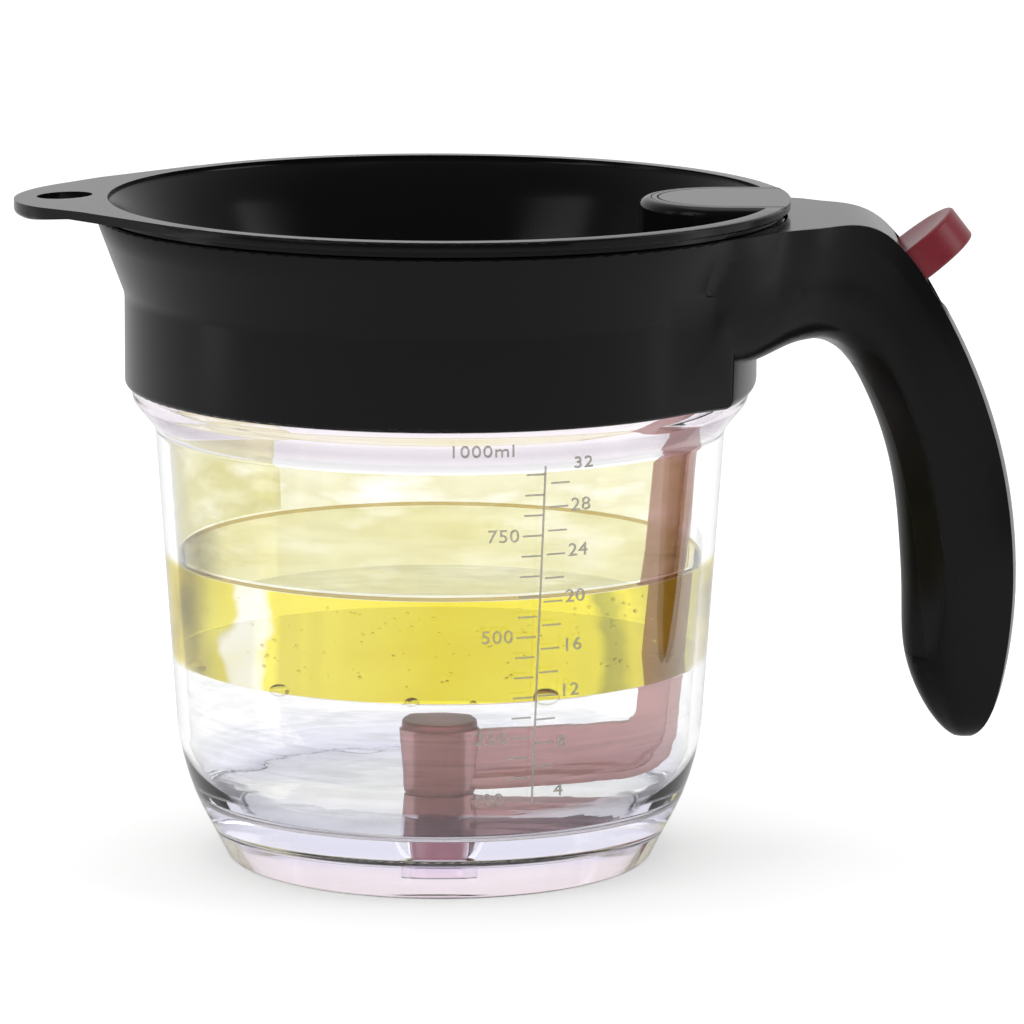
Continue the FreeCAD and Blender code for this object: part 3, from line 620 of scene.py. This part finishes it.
def make_jug():
    heel_radius, heel_height, floor_radius = jug_inner_line()
    spout_radius = DRAIN_RADIUS + SPOUT_WALL
    spout_bottom = FLOOR_BOTTOM - SPOUT_DROP
    foot_inner = FOOT_RADIUS - FOOT_WIDTH
    neck_inner = NECK_RADIUS - NECK_WALL
    jug = turned("clear_jug", [
        (foot_inner, 0, 0.8),
        (FOOT_RADIUS, 0, 1.2),
        (HEEL_RADIUS, HEEL_HEIGHT, HEEL_BEND),
        (SHOULDER_RADIUS, SHOULDER_HEIGHT, 4.5),
        (FLANGE_RADIUS, SHOULDER_HEIGHT + FLANGE_RISE, 3.0),
        (FLANGE_RADIUS, FLANGE_TOP),
        (NECK_RADIUS, FLANGE_TOP),
        (NECK_RADIUS, NECK_TOP, 0.6),
        (neck_inner, NECK_TOP, 0.6),
        (neck_inner, SHOULDER_HEIGHT + INNER_NECK_RISE, 4.0),
        (SHOULDER_RADIUS - JUG_WALL, SHOULDER_HEIGHT + INNER_SHOULDER_RISE, 4.0),
        (heel_radius, heel_height, HEEL_BEND - JUG_WALL),
        (floor_radius, FLOOR_TOP, FLOOR_BEND),
        (SEAT_RADIUS, FLOOR_TOP, 0.3),
        (DRAIN_RADIUS, FLOOR_BOTTOM + DRAIN_EDGE),
        (DRAIN_RADIUS, spout_bottom, DRAIN_EDGE),
        (spout_radius, spout_bottom, DRAIN_EDGE),
        (spout_radius, FLOOR_BOTTOM, 1.2),
        (foot_inner + FOOT_STEP, FLOOR_BOTTOM, 2.0),
    ])
    smooth(jug, CLEAR_SMOOTH)
    coat(jug, CLEAR)
    wet_the_floor(jug)
    place(jug, JUG_BODY, "clear_plastic", "jug")
    return jug


def inner_wall(height):
    """Radius of the jug's inside at a height between the heel and the shoulder."""
    heel_radius, heel_height, _ = jug_inner_line()
    shoulder = SHOULDER_RADIUS - JUG_WALL
    rise = SHOULDER_HEIGHT + INNER_SHOULDER_RISE - heel_height
    return heel_radius + (shoulder - heel_radius) * (height - heel_height) / rise


def contents(obj, finish, degrees=CLEAR_SMOOTH):
    """Finishes one of the jug's contents, which stay with it."""
    smooth(obj, degrees)
    coat(obj, finish)
    place(obj, JUG_BODY, None)


def make_liquids():
    gap = LIQUID_GAP
    heel_radius, heel_height, floor_radius = jug_inner_line()
    broth_edge = inner_wall(BROTH_TOP) - gap
    oil_edge = inner_wall(OIL_TOP) - gap
    contents(turned("broth", [
        (0, FLOOR_TOP + gap),
        (floor_radius - gap, FLOOR_TOP + gap, FLOOR_BEND),
        (heel_radius - gap, heel_height, HEEL_BEND - JUG_WALL),
        (broth_edge, BROTH_TOP),
        (0, BROTH_TOP),
    ]), BROTH)
    contents(turned("fat_layer", [
        (0, BROTH_TOP + gap),
        (broth_edge, BROTH_TOP + gap),
        (oil_edge, OIL_TOP),
        (0, OIL_TOP),
    ]), FAT)
    contents(turned("fat_meniscus", [
        (oil_edge, OIL_TOP + gap / 2),
        (oil_edge, OIL_TOP + MENISCUS),
        (oil_edge - 0.5 * MENISCUS, OIL_TOP + gap / 2, MENISCUS_TIP),
    ]), FAT_EDGE, MENISCUS_SMOOTH)
    film_low = inner_wall(FILM_FOOT) - gap
    film_high = inner_wall(FILM_TOP) - gap
    contents(part_turned("fat_smear", [
        (film_low, FILM_FOOT),
        (film_high, FILM_TOP),
        (film_high - FILM_THICKNESS, FILM_TOP),
        (film_low - FILM_THICKNESS, FILM_FOOT),
    ], FILM_START, FILM_SWEEP), FAT_FILM)
    make_bubbles()


def bubble_spots():
    """Turn, height, distance from the axis, radius and flatness of each bubble."""
    chance = random.Random(BUBBLE_SEED)
    spots = []
    room = OIL_TOP - BROTH_TOP - 2 * SMALL_MARGIN
    for _ in range(SMALL_BUBBLES):
        turn = math.radians(chance.uniform(*SMALL_SPREAD))
        height = BROTH_TOP + SMALL_MARGIN + room * chance.random()
        reach = inner_wall(height) - chance.uniform(*SMALL_DEPTH)
        spots.append((turn, height, reach, chance.uniform(*SMALL_SIZE), SMALL_FLATNESS))
    for degrees, size in LARGE_BUBBLES:
        reach = inner_wall(BROTH_TOP) - size - LARGE_DEPTH
        spots.append((math.radians(degrees), BROTH_TOP + LARGE_RISE, reach, size, LARGE_FLATNESS))
    return spots


def make_bubbles():
    """Bubbles in the fat, and a few large ones along the line where it meets the stock."""
    pieces = []
    for turn, height, reach, size, flatness in bubble_spots():
        at = Vector((reach * math.sin(turn), -reach * math.cos(turn), height)) * MM
        bpy.ops.mesh.primitive_ico_sphere_add(subdivisions=2 if size < FINE_FROM else 3,
                                              radius=size * MM, location=at)
        bubble = bpy.context.object
        bubble.scale = (1.0, 1.0, flatness)
        settle(bubble)
        pieces.append(bubble)
    contents(joined(pieces, "bubbles"), AIR, BUBBLE_SMOOTH)


# ------------------------------------------------------------------ pieces that keep their solid
def make_frame_pieces():
    plan = [
        ("neck_seal", "neck_seal_ring", JUG_BODY, "soft_seal", SEAL_GREY),
        ("collar", "collar_and_handle", JUG_BODY, "black_plastic", BLACK),
        ("handle_cover", "handle_top_cover", JUG_BODY, "black_satin", BLACK_COVER),
        ("palm_insert", "grip_insert", JUG_BODY, "soft_grip", BLACK_GRIP),
        ("mechanism_bridge", "lift_bridge", JUG_BODY, "grey_plastic", GREY_BRIDGE),
        ("bridge_screws", "two_screws", JUG_BODY, "screw_steel", STEEL),
        ("lever_pin", "pivot_pin", JUG_BODY, "pin_steel", STEEL),
        ("thumb_lever", "thumb_lever_red", LEVER_BODY, "red_plastic", RED),
        ("lift_carriage", "carriage", PLUG_BODY, "carriage_plastic", RED),
        ("lift_arm", "arm", PLUG_BODY, "red_translucent", RED_MILKY),
        ("drain_plug", "plug", PLUG_BODY, "plug_silicone", PLUG_RED),
        ("strainer", "strainer_bowl", STRAINER_BODY, "strainer_plastic", BLACK_STRAINER),
        ("strainer_cap", "hood_cap", STRAINER_BODY, "cap_plastic", BLACK_STRAINER),
    ]
    for node, name, body, slot, finish in plan:
        coat(finished_copy(node, name, body, slot), finish)
    spring = finished_copy("return_spring", "squeezed_spring", JUG_BODY, "spring_steel")
    coat(spring, STEEL)
    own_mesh(spring)


# ------------------------------------------------------------------ scale marks
# Heights in millimetres, angles in degrees from -Y towards +X.
LINE_TOP = 100.2
LINE_FOOT = 23.3
LINE_TOP_ANGLE = 22.2
LINE_FOOT_ANGLE = 19.9
LINE_WIDTH = 0.40
TICK_LENGTH = 4.4
TICK_HEIGHT = 0.34
TICK_GAP = 0.7
MARK_DEPTH = 0.24
MARK_START = 9.0
DIGIT_SIZE = 4.15
DIGIT_STRETCH = 1.14
DIGIT_SPACING = 1.08
DIGIT_SMOOTHNESS = 4
LINE_CUTS = 24
TICK_CUTS = 4
MARK_LIFT = 0.02
LEFT_FIRST = 98.3
LEFT_STEP = 4.57
LEFT_COUNT = 16
RIGHT_FIRST = 96.2
RIGHT_STEP = 5.33
RIGHT_COUNT = 13
LEFT_LABELS = [("1000ml", 104.4), ("750", 84.6), ("500", 61.9), ("250", 38.9), ("100", 24.8)]
RIGHT_LABELS = [("32", 100.5), ("28", 90.9), ("24", 80.7), ("20", 70.3), ("16", 59.3),
                ("12", 49.0), ("8", 37.3), ("4", 26.2)]
LABEL_CLEARANCE = 0.7
TOP_LABEL_SHIFT = 2.2


def wall_radius(height):
    """Radius of the jug's outside at a height between the heel and the shoulder."""
    return SHOULDER_RADIUS - (SHOULDER_HEIGHT - height) * (
        (SHOULDER_RADIUS - HEEL_RADIUS) / (SHOULDER_HEIGHT - HEEL_HEIGHT))


def line_angle(height):
    share = (height - LINE_FOOT) / (LINE_TOP - LINE_FOOT)
    return LINE_FOOT_ANGLE + share * (LINE_TOP_ANGLE - LINE_FOOT_ANGLE)


def lay_on_wall(obj, angle, height):
    """Stands a flat mark, drawn in its own XY plane, in front of its place on the wall."""
    radius = wall_radius(height)
    turn = math.radians(angle)
    obj.rotation_euler = (math.radians(90.0), 0, turn)
    in_front = -radius * math.cos(turn) - MARK_START
    obj.location = Vector((radius * math.sin(turn), in_front, height)) * MM
    settle(obj)
    return obj


def bar_mark(angle, height, along, width, tall, cuts):
    """Thin bar, moved along the wall from the angle by a distance in millimetres."""
    bpy.ops.mesh.primitive_plane_add(size=MM)
    bar = bpy.context.object
    bar.scale = (width, tall, 1)
    settle(bar)
    open_mesh(bar)
    bpy.ops.mesh.select_all(action="SELECT")
    bpy.ops.mesh.subdivide(number_cuts=cuts)
    close_mesh()
    shift = math.degrees(along / wall_radius(height))
    return lay_on_wall(bar, angle + shift, height)


def written_mark(words, height, side):
    """Digits beside the ticks: side is -1 for the left column and 1 for the right."""
    bpy.ops.object.text_add()
    label = bpy.context.object
    label.data.body = words
    label.data.size = DIGIT_SIZE * MM
    label.data.align_x = "RIGHT" if side < 0 else "LEFT"
    label.data.align_y = "CENTER"
    label.data.resolution_u = DIGIT_SMOOTHNESS
    label.data.space_character = DIGIT_SPACING
    bpy.ops.object.convert(target="MESH")
    label = bpy.context.object
    label.scale = (DIGIT_STRETCH, 1, 1)
    settle(label)
    along = side * (TICK_GAP + TICK_LENGTH + LABEL_CLEARANCE)
    if height > LINE_TOP + DIGIT_SIZE / 2:
        along -= TOP_LABEL_SHIFT
    shift = math.degrees(along / wall_radius(height))
    return lay_on_wall(label, line_angle(height) + shift, height)


def make_scale(jug):
    """Line, ticks and digits laid on the jug's wall and raised from it."""
    marks = []
    middle = (LINE_TOP + LINE_FOOT) / 2
    tall = LINE_TOP - LINE_FOOT
    line = bar_mark(line_angle(middle), middle, 0.0, LINE_WIDTH, tall, LINE_CUTS)
    lean = math.radians(LINE_TOP_ANGLE - LINE_FOOT_ANGLE)
    for vertex in line.data.vertices:
        share = (vertex.co.z / MM - middle) / tall
        vertex.co = Matrix.Rotation(share * lean, 3, "Z") @ vertex.co
    marks.append(line)
    reach = TICK_GAP + TICK_LENGTH / 2
    for side, first, step, count in ((-1, LEFT_FIRST, LEFT_STEP, LEFT_COUNT),
                                     (1, RIGHT_FIRST, RIGHT_STEP, RIGHT_COUNT)):
        for number in range(count):
            height = first - number * step
            tick = bar_mark(line_angle(height), height, side * reach, TICK_LENGTH, TICK_HEIGHT,
                            TICK_CUTS)
            marks.append(tick)
    for side, labels in ((-1, LEFT_LABELS), (1, RIGHT_LABELS)):
        for words, height in labels:
            marks.append(written_mark(words, height, side))
    scale = joined(marks, "raised_scale")
    wrap = scale.modifiers.new("wrap", "SHRINKWRAP")
    wrap.target = jug
    wrap.wrap_method = "PROJECT"
    wrap.use_project_y = True
    wrap.use_positive_direction = True
    wrap.use_negative_direction = False
    wrap.offset = MARK_LIFT * MM
    wall = scale.modifiers.new("height", "SOLIDIFY")
    wall.thickness = MARK_DEPTH * MM
    wall.offset = 1.0
    apply_all(scale)
    coat(scale, MARKS_PAINTED_SHADE)
    place(scale, JUG_BODY, None)


# ------------------------------------------------------------------ stage
# Lengths in metres, angles in degrees
CAMERA_PLACE = (0.0164, -1.400, 0.333)
CAMERA_PITCH = 10.285
CAMERA_ROLL = 0.25
CAMERA_LENS = 219.4
CAMERA_REACH = 30.0
SENSOR = 36.0
FLOOR_SIZE = 12.0
FLOOR_TONE = 0.80
FLOOR_LIFT = 0.38

# Strength of the world's light, and of what smooth pieces mirror from front to back
AMBIENT = 0.80
MIRROR_FROM = -0.30
MIRROR_TO = 0.75
MIRROR_DIM = 0.10


def make_stage():
    bpy.ops.mesh.primitive_plane_add(size=FLOOR_SIZE, location=(0, 0, 0))
    floor = bpy.context.object
    floor.name = "floor"
    material, nodes, links, shader = new_finish("floor_paper")
    shader.inputs["Base Color"].default_value = (FLOOR_TONE, FLOOR_TONE, FLOOR_TONE, 1)
    shader.inputs["Roughness"].default_value = 0.9
    shader.inputs["Specular IOR Level"].default_value = 0.0
    shader.inputs["Emission Color"].default_value = (1, 1, 1, 1)
    links.new(seen_directly(nodes, links, FLOOR_LIFT), shader.inputs["Emission Strength"])
    coat(floor, material)


def seen_directly(nodes, links, strength):
    """The strength for rays that look straight, or through clear pieces, and 0 for others."""
    paths = nodes.new("ShaderNodeLightPath")
    either = nodes.new("ShaderNodeMath")
    either.operation = "MAXIMUM"
    links.new(paths.outputs["Is Camera Ray"], either.inputs[0])
    links.new(paths.outputs["Is Transmission Ray"], either.inputs[1])
    scaled = nodes.new("ShaderNodeMath")
    scaled.operation = "MULTIPLY"
    scaled.inputs[1].default_value = strength
    links.new(either.outputs["Value"], scaled.inputs[0])
    return scaled.outputs["Value"]


def make_surroundings():
    """White behind and above, dim in front, as smooth plastic mirrors a light tent."""
    world = bpy.data.worlds.new("studio")
    bpy.context.scene.world = world
    world.use_nodes = True
    nodes = world.node_tree.nodes
    links = world.node_tree.links
    around = nodes["Background"]
    around.inputs["Color"].default_value = (1, 1, 1, 1)
    around.inputs["Strength"].default_value = AMBIENT
    mirrored = nodes.new("ShaderNodeBackground")
    coords = nodes.new("ShaderNodeTexCoord")
    parts = nodes.new("ShaderNodeSeparateXYZ")
    depth = nodes.new("ShaderNodeMapRange")
    depth.inputs["From Min"].default_value = MIRROR_FROM
    depth.inputs["From Max"].default_value = MIRROR_TO
    depth.inputs["To Min"].default_value = MIRROR_DIM
    depth.inputs["To Max"].default_value = 1.0
    links.new(coords.outputs["Generated"], parts.inputs["Vector"])
    links.new(parts.outputs["Y"], depth.inputs["Value"])
    links.new(depth.outputs["Result"], mirrored.inputs["Strength"])
    seen = nodes.new("ShaderNodeBackground")
    seen.inputs["Color"].default_value = (1, 1, 1, 1)
    seen.inputs["Strength"].default_value = 1.0
    paths = nodes.new("ShaderNodeLightPath")
    glossy = nodes.new("ShaderNodeMixShader")
    links.new(paths.outputs["Is Glossy Ray"], glossy.inputs["Fac"])
    links.new(around.outputs["Background"], glossy.inputs[1])
    links.new(mirrored.outputs["Background"], glossy.inputs[2])
    direct = nodes.new("ShaderNodeMixShader")
    links.new(seen_directly(nodes, links, 1.0), direct.inputs["Fac"])
    links.new(glossy.outputs["Shader"], direct.inputs[1])
    links.new(seen.outputs["Background"], direct.inputs[2])
    links.new(direct.outputs["Shader"], nodes["World Output"].inputs["Surface"])


def soft_lamp(name, place_at, aim, width, height, watts):
    bpy.ops.object.light_add(type="AREA", location=place_at)
    lamp = bpy.context.object
    lamp.name = name
    lamp.data.shape = "RECTANGLE"
    lamp.data.size = width
    lamp.data.size_y = height
    lamp.data.energy = watts
    toward = Vector(aim) - Vector(place_at)
    lamp.rotation_euler = toward.to_track_quat("-Z", "Y").to_euler()


def make_lights():
    """Three soft lamps for the whole, and two strips that draw bands on the collar."""
    middle = (0.0, 0.0, 0.08)
    collar = (0.0, 0.0, 0.16)
    soft_lamp("lamp_left", (-1.2, -0.9, 0.9), middle, 0.7, 1.0, 4)
    soft_lamp("lamp_right", (1.3, -0.2, 0.6), middle, 0.6, 0.8, 3)
    soft_lamp("lamp_top", (0.0, 0.3, 1.5), middle, 1.0, 1.0, 4)
    soft_lamp("strip_left", (-0.52, -0.06, 0.24), collar, 0.12, 0.46, 0.16)
    soft_lamp("strip_right", (0.56, -0.02, 0.24), collar, 0.12, 0.46, 0.18)


def make_camera():
    bpy.ops.object.camera_add(location=CAMERA_PLACE)
    camera = bpy.context.object
    camera.name = "camera"
    camera.data.sensor_width = SENSOR
    camera.data.lens = CAMERA_LENS
    camera.data.clip_end = CAMERA_REACH
    tilt = Matrix.Rotation(math.radians(90.0 - CAMERA_PITCH), 4, "X")
    roll = Matrix.Rotation(math.radians(CAMERA_ROLL), 4, "Z")
    camera.matrix_world = Matrix.Translation(CAMERA_PLACE) @ tilt @ roll
    bpy.context.scene.camera = camera
    bpy.context.scene.view_settings.view_transform = "Standard"


def main():
    make_scale(make_jug())
    make_liquids()
    make_frame_pieces()
    make_stage()
    make_surroundings()
    make_lights()
    make_camera()
    start_fresh()


main()
